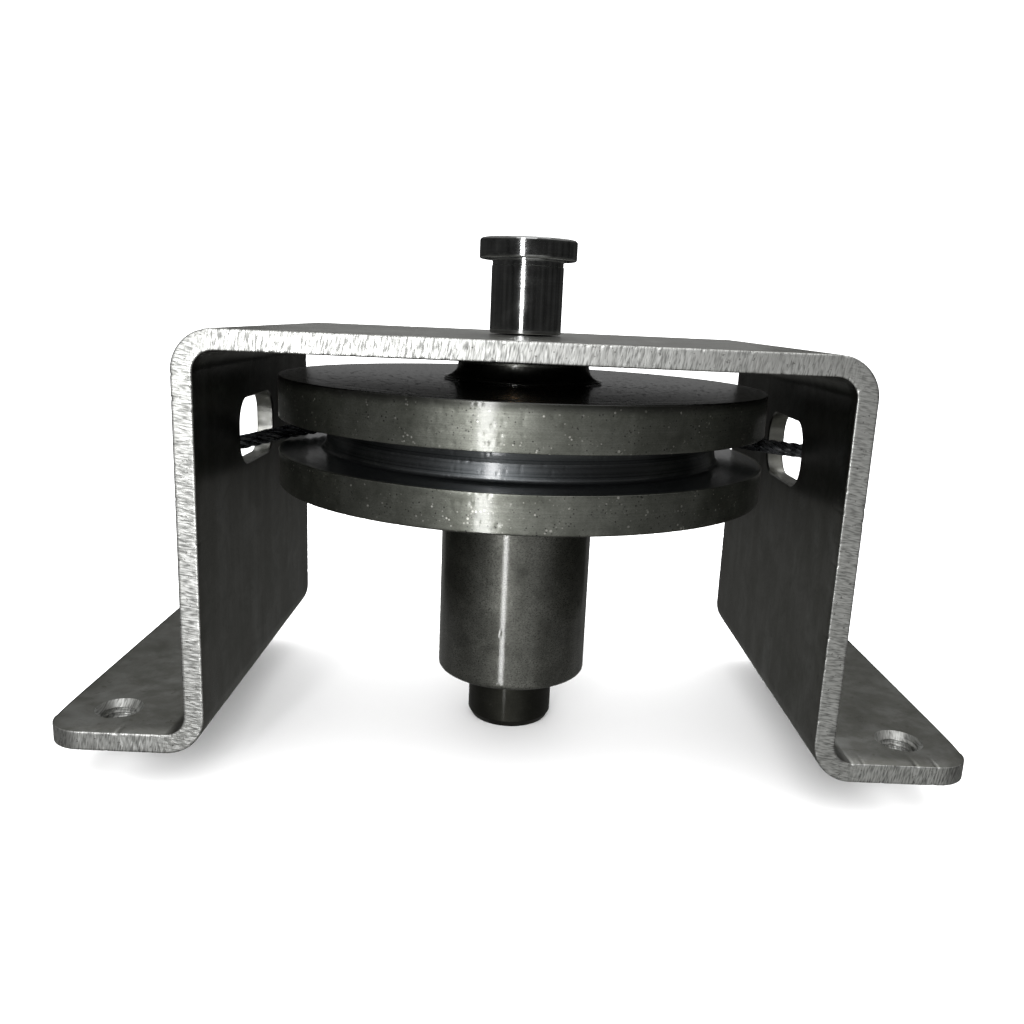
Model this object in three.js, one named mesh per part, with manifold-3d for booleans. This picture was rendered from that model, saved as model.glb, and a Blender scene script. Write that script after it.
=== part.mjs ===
// Cable-sheave cam follower: a folded hat-section bracket carries a fixed vertical spindle. A grooved rope
// sheave turns on the spindle inside the bracket, a wire rope lies in its groove, and a headed follower
// roller turns on the same spindle above the bracket.
//
// Millimetres, +Z up. The origin is on the spindle axis, in the plane of the flange undersides.

import * as THREE from "three";
import { mergeVertices } from "three/addons/utils/BufferGeometryUtils.js";
import Module from "manifold-3d";

const wasm = await Module();
wasm.setup();

// ---- driving dimensions ----

const GAP = 0.3; // clearance between neighbouring pieces

// bracket: one folded plate
const PLATE = 5;
const BRACKET_WIDTH = 160; // over the outer faces of the legs
const BRACKET_DEPTH = 112;
const BRACKET_HEIGHT = 104;
const FLANGE_REACH = 36; // from a leg's outer face to the flange's end
const BEND_INSIDE = 5;
const BEND_OUTSIDE = BEND_INSIDE + PLATE;
const FLANGE_CORNER = 9;
const BOLT_CORE_R = 4.25; // M10 tapping size
const BOLT_MOUTH_R = 6;
const BOLT_INSET = 14; // hole centre from the flange's end and from its front or rear edge

// rope slots in the legs
const SLOT_LENGTH = 32.8;
const SLOT_HEIGHT = 17.8;
const SLOT_CORNER = 7;
const SLOT_CENTRE_Y = -4.5;
const SLOT_CENTRE_Z = 75.6;

// sheave and hub
const SHEAVE_R = 68;
const SHEAVE_BOTTOM = 62.2;
const SHEAVE_TOP = 91.5;
const GROOVE_BOTTOM = 71.5;
const GROOVE_TOP = 80.5;
const GROOVE_FLOOR_R = 55.7;
const GROOVE_VEE = 0.8; // how much deeper the floor is at mid-height
const GROOVE_FILLET = 2;
const RIM_EDGE = 0.4; // broken edge on both rims
const HUB_R = 22;
const HUB_NECK_R = 18;
const HUB_BOTTOM = 5.5;
const HUB_TOP = 97.2;
const HUB_EDGE = 1;
const WELD_LEG = 4;
const BUSH_WALL = 1.7;
const BUSH_LENGTH = 20;

// spindle
const SPINDLE_R = 12.5;
const SPINDLE_BOTTOM = -10.4;
const SPINDLE_LEAD_RADIAL = 1;
const SPINDLE_LEAD_AXIAL = 1.8;
const STUD_R = 5; // threaded end that passes the plate and the follower
const WASHER_THICK = 1.2;

// follower
const FOLLOWER_R = 10.1;
const HEAD_R = 13.6;
const HEAD_BOTTOM = 124.4;
const HEAD_TOP = 130;
const HEAD_ROUND = 0.7;
const RELIEF_HEIGHT = 1.8; // shallow relief turned just under the head
const RELIEF_DEPTH = 0.15;
const SLEEVE_R = 7;
const NUT_ACROSS_FLATS = 17;
const NUT_THICK = 3.2;

// wire rope
const ROPE_R = 2;
const ROPE_END_SLEEVE_WALL = 1.3;
const ROPE_END_SLEEVE_LENGTH = 7;

const ROUND = 48; // facets round an ordinary turned piece
const ROUND_LARGE = 72; // facets round the sheave
const ROUND_SMALL = 24; // facets round holes and rope fittings

// ---- derived places ----

const LEG_OUTER_X = BRACKET_WIDTH / 2;
const LEG_INNER_X = LEG_OUTER_X - PLATE;
const FLANGE_END_X = LEG_OUTER_X + FLANGE_REACH;
const HALF_DEPTH = BRACKET_DEPTH / 2;
const PLATE_UNDERSIDE = BRACKET_HEIGHT - PLATE;
const BUSH_OUTER_R = SPINDLE_R + GAP + BUSH_WALL;
const HUB_BORE_R = BUSH_OUTER_R + GAP;
const SHOULDER_Z = PLATE_UNDERSIDE - GAP; // where the spindle meets the plate
const ROPE_PATH_R = GROOVE_FLOOR_R + GAP + ROPE_R;
const FOLLOWER_BASE = BRACKET_HEIGHT + GAP;
const FOLLOWER_BORE_R = SLEEVE_R + 2 * GAP + 1;
const HEAD_POCKET_FLOOR = HEAD_BOTTOM - 0.4;
const HEAD_POCKET_R = 10.4;

// ---- solids ----

function toSolid(geometry) {
  const bare = geometry.clone();
  bare.deleteAttribute("normal");
  bare.deleteAttribute("uv");
  const merged = mergeVertices(bare, 1e-5);
  return new wasm.Manifold(new wasm.Mesh({
    numProp: 3,
    vertProperties: new Float32Array(merged.attributes.position.array),
    triVerts: new Uint32Array(merged.index.array),
  }));
}

function toGeometry(solid) {
  const mesh = solid.getMesh();
  const geometry = new THREE.BufferGeometry();
  geometry.setAttribute("position", new THREE.BufferAttribute(mesh.vertProperties, 3));
  geometry.setIndex(new THREE.BufferAttribute(mesh.triVerts, 1));
  return geometry;
}

function cut(body, ...tools) {
  return tools.reduce((solid, tool) => solid.subtract(tool), body);
}

// A turned piece about +Z. Each outline point is (radius, height) and the outline closes on itself.
function turned(outline, facets = ROUND) {
  const points = [...outline, outline[0]].map(([radius, height]) => new THREE.Vector2(radius, height));
  return new THREE.LatheGeometry(points, facets).rotateX(Math.PI / 2);
}

// A plain ring about +Z.
function ring(innerR, outerR, bottom, top, facets = ROUND) {
  return turned([[innerR, bottom], [outerR, bottom], [outerR, top], [innerR, top]], facets);
}

// Points of an arc from one angle to another, in degrees, both ends included.
function arc(centreX, centreY, radius, fromDeg, toDeg, steps) {
  const points = [];
  for (let i = 0; i <= steps; i += 1) {
    const angle = THREE.MathUtils.degToRad(fromDeg + ((toDeg - fromDeg) * i) / steps);
    points.push([centreX + radius * Math.cos(angle), centreY + radius * Math.sin(angle)]);
  }
  return points;
}

function shapeOf(points) {
  return new THREE.Shape(points.map(([x, y]) => new THREE.Vector2(x, y)));
}

// ---- bracket ----

// Right half of the hat section in (x, z), outer side first, then back along the inner side.
function hatHalfOuter(steps) {
  return [
    ...arc(LEG_OUTER_X - BEND_OUTSIDE, BRACKET_HEIGHT - BEND_OUTSIDE, BEND_OUTSIDE, 90, 0, steps),
    ...arc(LEG_OUTER_X + BEND_INSIDE, PLATE + BEND_INSIDE, BEND_INSIDE, 180, 270, steps),
    [FLANGE_END_X, PLATE],
  ];
}

function hatHalfInner(steps) {
  return [
    [FLANGE_END_X, 0],
    ...arc(LEG_INNER_X + BEND_OUTSIDE, BEND_OUTSIDE, BEND_OUTSIDE, 270, 180, steps),
    ...arc(LEG_INNER_X - BEND_INSIDE, PLATE_UNDERSIDE - BEND_INSIDE, BEND_INSIDE, 0, 90, steps),
  ];
}

function foldedPlate() {
  const right = [...hatHalfOuter(8), ...hatHalfInner(8)];
  const left = right.map(([x, z]) => [-x, z]).reverse();
  const section = new THREE.ExtrudeGeometry(shapeOf([...right, ...left]), {
    depth: BRACKET_DEPTH,
    bevelEnabled: false,
  });
  section.rotateX(Math.PI / 2).translate(0, HALF_DEPTH, 0);
  return toSolid(section);
}

// The plan outline with rounded flange corners, tall enough to trim the folded plate.
function planTrim() {
  const x = FLANGE_END_X - FLANGE_CORNER;
  const y = HALF_DEPTH - FLANGE_CORNER;
  const plan = shapeOf([
    ...arc(x, y, FLANGE_CORNER, 0, 90, 8),
    ...arc(-x, y, FLANGE_CORNER, 90, 180, 8),
    ...arc(-x, -y, FLANGE_CORNER, 180, 270, 8),
    ...arc(x, -y, FLANGE_CORNER, 270, 360, 8),
  ]);
  const height = BRACKET_HEIGHT + 2;
  return toSolid(new THREE.ExtrudeGeometry(plan, { depth: height, bevelEnabled: false }).translate(0, 0, -1));
}

// A tapped flange hole with its countersunk mouth upwards.
function boltHole(x, y) {
  const sink = BOLT_MOUTH_R - BOLT_CORE_R;
  const outline = [
    [0, -1],
    [BOLT_CORE_R, -1],
    [BOLT_CORE_R, PLATE - sink],
    [BOLT_MOUTH_R + 1, PLATE + 1],
    [0, PLATE + 1],
  ];
  return toSolid(turned(outline, ROUND_SMALL).translate(x, y, 0));
}

// A slot through one leg, long along Y, with well rounded corners.
function ropeSlot(side) {
  const r = SLOT_CORNER;
  const run = SLOT_LENGTH / 2 - r;
  const rise = SLOT_HEIGHT / 2 - r;
  const outline = shapeOf([
    ...arc(run, rise, r, 0, 90, 7),
    ...arc(-run, rise, r, 90, 180, 7),
    ...arc(-run, -rise, r, 180, 270, 7),
    ...arc(run, -rise, r, 270, 360, 7),
  ]);
  const slot = new THREE.ExtrudeGeometry(outline, { depth: PLATE + 4, bevelEnabled: false });
  slot.rotateX(Math.PI / 2).rotateZ(Math.PI / 2);
  slot.translate(side * (LEG_INNER_X + PLATE / 2) - (PLATE + 4) / 2, SLOT_CENTRE_Y, SLOT_CENTRE_Z);
  return toSolid(slot);
}

function bracket() {
  const stud = new THREE.CylinderGeometry(STUD_R + GAP, STUD_R + GAP, PLATE + 2, ROUND_SMALL);
  stud.rotateX(Math.PI / 2).translate(0, 0, BRACKET_HEIGHT - PLATE / 2);
  const holes = [];
  for (const sideX of [-1, 1]) {
    for (const sideY of [-1, 1]) {
      holes.push(boltHole(sideX * (FLANGE_END_X - BOLT_INSET), sideY * (HALF_DEPTH - BOLT_INSET)));
    }
  }
  const plate = foldedPlate().intersect(planTrim());
  return toGeometry(cut(plate, toSolid(stud), ropeSlot(-1), ropeSlot(1), ...holes));
}

// ---- spindle and its fastenings ----

const CIRCLIP_BOTTOM = HUB_BOTTOM - 2.8;
const CIRCLIP_TOP = CIRCLIP_BOTTOM + 1.2;
const CIRCLIP_SEAT_R = SPINDLE_R - 1;

function spindle() {
  return turned([
    [0, SPINDLE_BOTTOM],
    [SPINDLE_R - SPINDLE_LEAD_RADIAL, SPINDLE_BOTTOM],
    [SPINDLE_R, SPINDLE_BOTTOM + SPINDLE_LEAD_AXIAL],
    [SPINDLE_R, CIRCLIP_BOTTOM - 0.2],
    [CIRCLIP_SEAT_R, CIRCLIP_BOTTOM - 0.2],
    [CIRCLIP_SEAT_R, CIRCLIP_TOP + 0.2],
    [SPINDLE_R, CIRCLIP_TOP + 0.2],
    [SPINDLE_R, SHOULDER_Z],
    [STUD_R, SHOULDER_Z],
    [STUD_R, HEAD_TOP - 1.6],
    [STUD_R - 0.8, HEAD_TOP - 0.8],
    [0, HEAD_TOP - 0.8],
  ]);
}

// An external circlip: an open ring with two drilled ears.
function circlip() {
  const inner = CIRCLIP_SEAT_R + GAP;
  const outer = SPINDLE_R + 2.2;
  const openingHalf = 20;
  const outline = shapeOf([
    ...arc(0, 0, outer, 90 + openingHalf, 450 - openingHalf, 36),
    ...arc(0, 0, inner, 450 - openingHalf, 90 + openingHalf, 36),
  ]);
  const body = new THREE.ExtrudeGeometry(outline, { depth: CIRCLIP_TOP - CIRCLIP_BOTTOM, bevelEnabled: false });
  body.translate(0, 0, CIRCLIP_BOTTOM);
  let solid = toSolid(body);
  for (const side of [-1, 1]) {
    const angle = THREE.MathUtils.degToRad(90 + side * (openingHalf + 5));
    const x = (inner + 1.9) * Math.cos(angle);
    const y = (inner + 1.9) * Math.sin(angle);
    const ear = ring(0.6, 1.75, CIRCLIP_BOTTOM, CIRCLIP_TOP, 16).translate(x, y, 0);
    const eye = new THREE.CylinderGeometry(0.6, 0.6, 4, 16).rotateX(Math.PI / 2);
    eye.translate(x, y, CIRCLIP_BOTTOM);
    solid = solid.add(toSolid(ear)).subtract(toSolid(eye));
  }
  return toGeometry(solid);
}

function lowerThrustWasher() {
  const top = HUB_BOTTOM - GAP;
  return ring(SPINDLE_R + GAP, SPINDLE_R + 4, top - 1, top);
}

function upperThrustWasher() {
  return ring(SPINDLE_R + GAP, HUB_NECK_R - 0.8, SHOULDER_Z - WASHER_THICK, SHOULDER_Z);
}

// ---- sheave and hub ----

// Groove section from the lower rim to the upper one: square cheeks and a shallow vee floor with fillets.
function grooveOutline() {
  const r = GROOVE_FILLET;
  return [
    [SHEAVE_R, GROOVE_BOTTOM],
    ...arc(GROOVE_FLOOR_R + r, GROOVE_BOTTOM + r, r, 270, 180, 5),
    [GROOVE_FLOOR_R - GROOVE_VEE, (GROOVE_BOTTOM + GROOVE_TOP) / 2],
    ...arc(GROOVE_FLOOR_R + r, GROOVE_TOP - r, r, 180, 90, 5),
    [SHEAVE_R, GROOVE_TOP],
  ];
}

function sheave() {
  const bore = HUB_NECK_R + GAP;
  return turned([
    [bore, SHEAVE_BOTTOM],
    [SHEAVE_R - RIM_EDGE, SHEAVE_BOTTOM],
    [SHEAVE_R, SHEAVE_BOTTOM + RIM_EDGE],
    ...grooveOutline(),
    [SHEAVE_R, SHEAVE_TOP - RIM_EDGE],
    [SHEAVE_R - RIM_EDGE, SHEAVE_TOP],
    [bore, SHEAVE_TOP],
  ], ROUND_LARGE);
}

// The barrel under the sheave and the thinner neck that passes through it.
function hubBarrel() {
  const shoulder = SHEAVE_BOTTOM - GAP;
  return turned([
    [HUB_BORE_R, HUB_BOTTOM],
    [HUB_R - HUB_EDGE, HUB_BOTTOM],
    [HUB_R, HUB_BOTTOM + HUB_EDGE],
    [HUB_R, shoulder],
    [HUB_NECK_R, shoulder],
    [HUB_NECK_R, HUB_TOP],
    [HUB_BORE_R, HUB_TOP],
  ]);
}

// Concave weld fillet between the neck and the sheave's top face.
function hubWeld() {
  const inner = HUB_NECK_R + GAP;
  const bottom = SHEAVE_TOP + GAP;
  return turned([
    [inner, bottom],
    [inner + WELD_LEG, bottom],
    ...arc(inner + WELD_LEG + 0.3, bottom + WELD_LEG + 0.3, WELD_LEG, 268, 182, 6),
    [inner, bottom + WELD_LEG],
  ]);
}

function hubBush(bottom) {
  return ring(SPINDLE_R + GAP, BUSH_OUTER_R, bottom, bottom + BUSH_LENGTH);
}

// ---- follower ----

// The roller: a slim shank with a wider head, and a pocket in the head for the washer and nut.
function followerRoller() {
  const reliefBottom = HEAD_BOTTOM - RELIEF_HEIGHT;
  return turned([
    [FOLLOWER_BORE_R, FOLLOWER_BASE],
    [FOLLOWER_R - 0.4, FOLLOWER_BASE],
    [FOLLOWER_R, FOLLOWER_BASE + 0.4],
    [FOLLOWER_R, reliefBottom],
    [FOLLOWER_R - RELIEF_DEPTH, reliefBottom + 0.2],
    [FOLLOWER_R - RELIEF_DEPTH, HEAD_BOTTOM],
    [HEAD_R - HEAD_ROUND, HEAD_BOTTOM],
    ...arc(HEAD_R - HEAD_ROUND, HEAD_BOTTOM + HEAD_ROUND, HEAD_ROUND, 270, 360, 3),
    ...arc(HEAD_R - HEAD_ROUND, HEAD_TOP - HEAD_ROUND, HEAD_ROUND, 0, 90, 3),
    [HEAD_POCKET_R, HEAD_TOP],
    [HEAD_POCKET_R, HEAD_POCKET_FLOOR],
    [FOLLOWER_BORE_R, HEAD_POCKET_FLOOR],
  ]);
}

// Bronze liner inside the roller.
function followerBush() {
  return ring(SLEEVE_R + GAP, SLEEVE_R + GAP + 1, FOLLOWER_BASE + GAP, HEAD_POCKET_FLOOR - GAP);
}

// Fixed sleeve that the nut clamps against the bracket, a little longer than the roller's bore.
function followerSleeve() {
  return ring(STUD_R + GAP, SLEEVE_R, FOLLOWER_BASE, HEAD_POCKET_FLOOR + GAP);
}

function followerWasher() {
  const bottom = HEAD_POCKET_FLOOR + 2 * GAP;
  return ring(STUD_R + GAP, HEAD_POCKET_R - 0.6, bottom, bottom + WASHER_THICK);
}

function followerNut() {
  const bottom = HEAD_POCKET_FLOOR + 3 * GAP + WASHER_THICK;
  const cornerR = NUT_ACROSS_FLATS / Math.sqrt(3);
  const hex = new THREE.CylinderGeometry(cornerR, cornerR, NUT_THICK, 6);
  hex.rotateX(Math.PI / 2).translate(0, 0, bottom + NUT_THICK / 2);
  const hole = new THREE.CylinderGeometry(STUD_R + GAP, STUD_R + GAP, NUT_THICK + 2, ROUND_SMALL);
  hole.rotateX(Math.PI / 2).translate(0, 0, bottom + NUT_THICK / 2);
  return toGeometry(toSolid(hex).subtract(toSolid(hole)));
}

// ---- wire rope ----

const ROPE_LEFT_END = new THREE.Vector3(-90.5, -17, 71.3);
const ROPE_RIGHT_END = new THREE.Vector3(90.5, -17, 76.9);
const ROPE_WRAP_FROM = 30; // degrees from +X where the rope meets the groove on the right
const ROPE_WRAP_STEPS = 12;

// From the right-hand tail through the slot, round the rear of the groove and out on the left.
function ropeRoute() {
  const right = [
    ROPE_RIGHT_END,
    new THREE.Vector3(84, -17.6, 76.8),
    new THREE.Vector3(78.5, -16.6, 76.6),
    new THREE.Vector3(74.6, -12, 76.3),
    new THREE.Vector3(68, -1.6, 75.9),
    new THREE.Vector3(59, 13.9, 75.7),
  ];
  const wrap = [];
  for (let i = 0; i <= ROPE_WRAP_STEPS; i += 1) {
    const share = i / ROPE_WRAP_STEPS;
    const angle = THREE.MathUtils.degToRad(ROPE_WRAP_FROM + (180 - 2 * ROPE_WRAP_FROM) * share);
    const height = THREE.MathUtils.lerp(75.6, 74.3, share);
    wrap.push(new THREE.Vector3(ROPE_PATH_R * Math.cos(angle), ROPE_PATH_R * Math.sin(angle), height));
  }
  const left = [
    new THREE.Vector3(-59, 13.9, 74.1),
    new THREE.Vector3(-68, -1.6, 73.7),
    new THREE.Vector3(-74.6, -12, 72.6),
    new THREE.Vector3(-78.5, -16.2, 72),
    new THREE.Vector3(-84, -17.4, 71.6),
    ROPE_LEFT_END,
  ];
  return new THREE.CatmullRomCurve3([...right, ...wrap, ...left]);
}

function wireRope() {
  const section = shapeOf(arc(0, 0, ROPE_R, 0, 315, 7));
  return new THREE.ExtrudeGeometry(section, { steps: 56, bevelEnabled: false, extrudePath: ropeRoute() });
}

// Crimped sleeve that keeps a cut rope end from fraying, threaded over the last of the rope.
function ropeEndSleeve(end, along) {
  const bore = ROPE_R + GAP;
  const sleeve = ring(bore, bore + ROPE_END_SLEEVE_WALL, -ROPE_END_SLEEVE_LENGTH, 0, ROUND_SMALL);
  const turn = new THREE.Quaternion().setFromUnitVectors(new THREE.Vector3(0, 0, 1), along);
  return sleeve.applyQuaternion(turn).translate(end.x, end.y, end.z);
}

// ---- assembly ----

const group = new THREE.Group();

function add(name, geometry, color, roughness, metalness) {
  const mesh = new THREE.Mesh(geometry, new THREE.MeshStandardMaterial({ color, roughness, metalness }));
  mesh.name = name;
  group.add(mesh);
}

const route = ropeRoute();
const rightOut = route.getTangentAt(0).negate();
const leftOut = route.getTangentAt(1);

add("bracket", bracket(), 0x8a8b88, 0.5, 0.9);
add("spindle", spindle(), 0x2b2c29, 0.45, 0.9);
add("circlip", circlip(), 0x2a2a2a, 0.4, 0.9);
add("lower_thrust_washer", lowerThrustWasher(), 0x8a6d3f, 0.4, 0.9);
add("upper_thrust_washer", upperThrustWasher(), 0x8a6d3f, 0.4, 0.9);

add("sheave", sheave(), 0x5c5e5a, 0.42, 0.95);
add("hub_barrel", hubBarrel(), 0x4a4b47, 0.45, 0.95);
add("hub_weld", hubWeld(), 0x3a3a38, 0.6, 0.8);
add("lower_bush", hubBush(HUB_BOTTOM + GAP), 0x9a7443, 0.4, 0.9);
add("upper_bush", hubBush(HUB_TOP - GAP - BUSH_LENGTH), 0x9a7443, 0.4, 0.9);

add("follower_roller", followerRoller(), 0xb5b7ba, 0.12, 1);
add("follower_bush", followerBush(), 0x9a7443, 0.4, 0.9);
add("follower_sleeve", followerSleeve(), 0x8f9092, 0.3, 1);
add("follower_washer", followerWasher(), 0x9a9b9c, 0.35, 1);
add("follower_nut", followerNut(), 0x8c8d8f, 0.35, 1);

add("wire_rope", wireRope(), 0x24262a, 0.5, 0.8);
add("rope_end_sleeve_left", ropeEndSleeve(ROPE_LEFT_END, leftOut), 0x77797a, 0.4, 0.9);
add("rope_end_sleeve_right", ropeEndSleeve(ROPE_RIGHT_END, rightOut), 0x77797a, 0.4, 0.9);

export default group;
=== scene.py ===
"""Cable-sheave cam follower: fine surfaces, materials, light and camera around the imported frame."""
import math

import bmesh
import bpy
import numpy as np
from mathutils import Matrix, Vector

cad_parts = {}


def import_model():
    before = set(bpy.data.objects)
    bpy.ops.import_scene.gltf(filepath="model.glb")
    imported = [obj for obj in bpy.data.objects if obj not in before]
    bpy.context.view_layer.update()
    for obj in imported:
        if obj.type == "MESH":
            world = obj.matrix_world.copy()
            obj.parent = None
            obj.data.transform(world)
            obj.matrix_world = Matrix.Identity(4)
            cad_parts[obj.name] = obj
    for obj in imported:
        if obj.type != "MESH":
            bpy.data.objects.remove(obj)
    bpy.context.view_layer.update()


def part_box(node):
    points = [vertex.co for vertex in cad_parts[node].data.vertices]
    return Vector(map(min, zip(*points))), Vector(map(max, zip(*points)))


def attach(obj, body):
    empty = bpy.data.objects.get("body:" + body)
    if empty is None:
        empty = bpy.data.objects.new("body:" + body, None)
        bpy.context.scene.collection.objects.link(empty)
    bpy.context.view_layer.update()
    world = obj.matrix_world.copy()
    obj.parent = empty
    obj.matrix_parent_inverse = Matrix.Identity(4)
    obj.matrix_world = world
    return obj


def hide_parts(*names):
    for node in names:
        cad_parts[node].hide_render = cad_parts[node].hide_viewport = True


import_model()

MM = 0.001

# ---- sizes, in millimetres


def node_box(name):
    """Lowest and highest corner of a CAD node, in millimetres."""
    low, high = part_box(name)
    return np.array(low) / MM, np.array(high) / MM


def reach(name):
    """Radius, bottom and top of a turned CAD node, in millimetres."""
    low, high = node_box(name)
    return float(high[0]), float(low[2]), float(high[2])


BRACKET_LOW, BRACKET_HIGH = node_box("bracket")
HALF_WIDTH = float(BRACKET_HIGH[0])
HALF_DEPTH = float(BRACKET_HIGH[1])
HEIGHT = float(BRACKET_HIGH[2])
PLATE = 5.0
LEG_OUTER = 80.0
LEG_INNER = LEG_OUTER - PLATE
BEND_INSIDE = 5.0
BEND_OUTSIDE = BEND_INSIDE + PLATE
FLANGE_CORNER = 9.0
BOLT_INSET = 14.0
BOLT_X = HALF_WIDTH - BOLT_INSET
BOLT_Y = HALF_DEPTH - BOLT_INSET
BOLT_CORE_R = 4.25
BOLT_MAJOR_R = 5.0
BOLT_MOUTH_R = 6.0
BOLT_PITCH = 1.5
SLOT_LENGTH = 32.8
SLOT_HEIGHT = 17.8
SLOT_CORNER = 7.0
SLOT_Y = -4.5
SLOT_Z = 75.6

SHEAVE_R, SHEAVE_BOTTOM, SHEAVE_TOP = reach("sheave")
GROOVE_BOTTOM = SHEAVE_BOTTOM + 9.3
GROOVE_TOP = SHEAVE_TOP - 11.0
GROOVE_FLOOR_R = 55.7
GROOVE_VEE = 0.8
HUB_R, HUB_BOTTOM, HUB_TOP = reach("hub_barrel")
NECK_R = 18.0
HUB_BORE_R = 14.8
SPINDLE_R, SPINDLE_BOTTOM, STUD_TOP = reach("spindle")
STUD_R = 5.0
HEAD_R, FOLLOWER_BASE, HEAD_TOP = reach("follower_roller")
SHANK_R = 10.1
LINER_BORE_R = 7.3
HEAD_BOTTOM = 124.4
ROPE_R = 2.0
FIT = 0.3  # gap between a piece and the bore round it

# ---- seeded relief


def smooth_noise(u, v, seed, wrap_u=None):
    """Smooth noise from -1 to 1 on a unit lattice. u repeats after wrap_u cells."""
    table = np.random.default_rng(seed).uniform(-1, 1, (256, 256))
    iu, iv = np.floor(u).astype(int), np.floor(v).astype(int)
    fu, fv = u - iu, v - iv
    fu, fv = fu * fu * (3 - 2 * fu), fv * fv * (3 - 2 * fv)

    def at(i, j):
        i = i % wrap_u if wrap_u else i
        return table[i % 256, j % 256]

    low = at(iu, iv) * (1 - fu) + at(iu + 1, iv) * fu
    high = at(iu, iv + 1) * (1 - fu) + at(iu + 1, iv + 1) * fu
    return low * (1 - fv) + high * fv


def dents(u, v, seed, chance, size=(0.1, 0.3), wrap_u=None):
    """Round dents on a unit lattice: 0 outside them, -1 at the deepest."""
    rng = np.random.default_rng(seed)
    centre_u, centre_v = rng.uniform(0.3, 0.7, (2, 256, 256))
    radius = rng.uniform(*size, (256, 256))
    present = (rng.uniform(0, 1, (256, 256)) < chance).astype(float)
    deepest = np.zeros(np.broadcast(u, v).shape)
    for step_u in (-1, 0, 1):
        for step_v in (-1, 0, 1):
            i = np.floor(u).astype(int) + step_u
            j = np.floor(v).astype(int) + step_v
            a = (i % wrap_u if wrap_u else i) % 256
            b = j % 256
            away = ((u - i - centre_u[a, b]) ** 2 + (v - j - centre_v[a, b]) ** 2) / radius[a, b] ** 2
            deepest = np.minimum(deepest, -present[a, b] * np.clip(1 - away, 0, 1))
    return deepest


# ---- meshes


def add_object(name, data):
    """A new object in the scene."""
    obj = bpy.data.objects.new(name, data)
    bpy.context.scene.collection.objects.link(obj)
    return obj


def make_object(name, points, faces, material=None, sharp_deg=35):
    """A smooth-shaded mesh object from points in millimetres."""
    mesh = bpy.data.meshes.new(name)
    mesh.from_pydata((np.asarray(points, float) * MM).tolist(), [], faces)
    mesh.update()
    if inside_out(mesh):
        mesh.flip_normals()
    obj = add_object(name, mesh)
    if material:
        mesh.materials.append(material)
    shade(obj, sharp_deg)
    return obj


def inside_out(mesh):
    """True for a closed mesh whose faces point inwards."""
    work = bmesh.new()
    work.from_mesh(mesh)
    volume = work.calc_volume(signed=True)
    work.free()
    return volume < 0


def shade(obj, sharp_deg):
    """Smooth shading, broken at edges sharper than sharp_deg."""
    obj.data.shade_smooth()
    obj.data.set_sharp_from_angle(angle=math.radians(sharp_deg))


def grid_faces(rows, columns, wrap_rows, wrap_columns):
    """Quads of a rows by columns grid of points, joined at its ends where it wraps."""
    i = np.arange(rows if wrap_rows else rows - 1)
    j = np.arange(columns if wrap_columns else columns - 1)
    i, j = np.meshgrid(i, j, indexing="ij")
    i2, j2 = (i + 1) % rows, (j + 1) % columns
    quads = np.stack([i * columns + j, i2 * columns + j, i2 * columns + j2, i * columns + j2], -1)
    return quads.reshape(-1, 4).tolist()


def capped_faces(rings, width):
    """Faces of a stack of rings of width points each, capped at both ends."""
    faces = grid_faces(rings, width, False, True)
    faces.append(list(range(width)))
    faces.append([(rings - 1) * width + k for k in reversed(range(width))])
    return faces


def lofted(name, grid, material=None, sharp_deg=35):
    """A closed piece through a stack of rings, grid[ring, point on the ring]."""
    return make_object(name, grid.reshape(-1, 3), capped_faces(*grid.shape[:2]), material, sharp_deg)


def fillet(corners):
    """Points of an outline whose corners are (x, y, radius). A corner of radius 0 stays sharp."""
    steps = 4
    points = []
    count = len(corners)
    for k in range(count):
        x, y, radius = corners[k]
        here = np.array([x, y], float)
        if radius == 0:
            points.append(here)
            continue
        back = np.array(corners[k - 1][:2], float) - here
        ahead = np.array(corners[(k + 1) % count][:2], float) - here
        back /= np.linalg.norm(back)
        ahead /= np.linalg.norm(ahead)
        half = math.acos(float(np.clip(back @ ahead, -1, 1))) / 2
        middle = back + ahead
        centre = here + middle / np.linalg.norm(middle) * radius / math.sin(half)
        first = here + back * radius / math.tan(half) - centre
        last = here + ahead * radius / math.tan(half) - centre
        start = math.atan2(first[1], first[0])
        turn = (math.atan2(last[1], last[0]) - start + math.pi) % (2 * math.pi) - math.pi
        for step in range(steps + 1):
            angle = start + turn * step / steps
            points.append(centre + radius * np.array([math.cos(angle), math.sin(angle)]))
    return np.array(points)


def refine(points, longest, closed):
    """The same outline with no straight stretch longer than longest."""
    ends = np.roll(points, -1, 0) if closed else points[1:]
    starts = points if closed else points[:-1]
    fine = []
    for a, b in zip(starts, ends):
        pieces = max(1, math.ceil(np.linalg.norm(b - a) / longest))
        fine += [a + (b - a) * k / pieces for k in range(pieces)]
    if not closed:
        fine.append(points[-1])
    return np.array(fine)


def outline_normals(points, closed):
    """Normals of an outline that runs anticlockwise in (radius, height), pointing out of the metal."""
    if closed:
        along = np.roll(points, -1, 0) - np.roll(points, 1, 0)
    else:
        along = np.gradient(points, axis=0)
    along /= np.maximum(np.linalg.norm(along, axis=1, keepdims=True), 1e-9)
    return np.stack([along[:, 1], -along[:, 0]], 1)


def polar(radius, angle, height):
    """Points at a radius, angle and height round the Z axis."""
    return np.stack([radius * np.cos(angle), radius * np.sin(angle), height + 0 * angle], -1)


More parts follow.
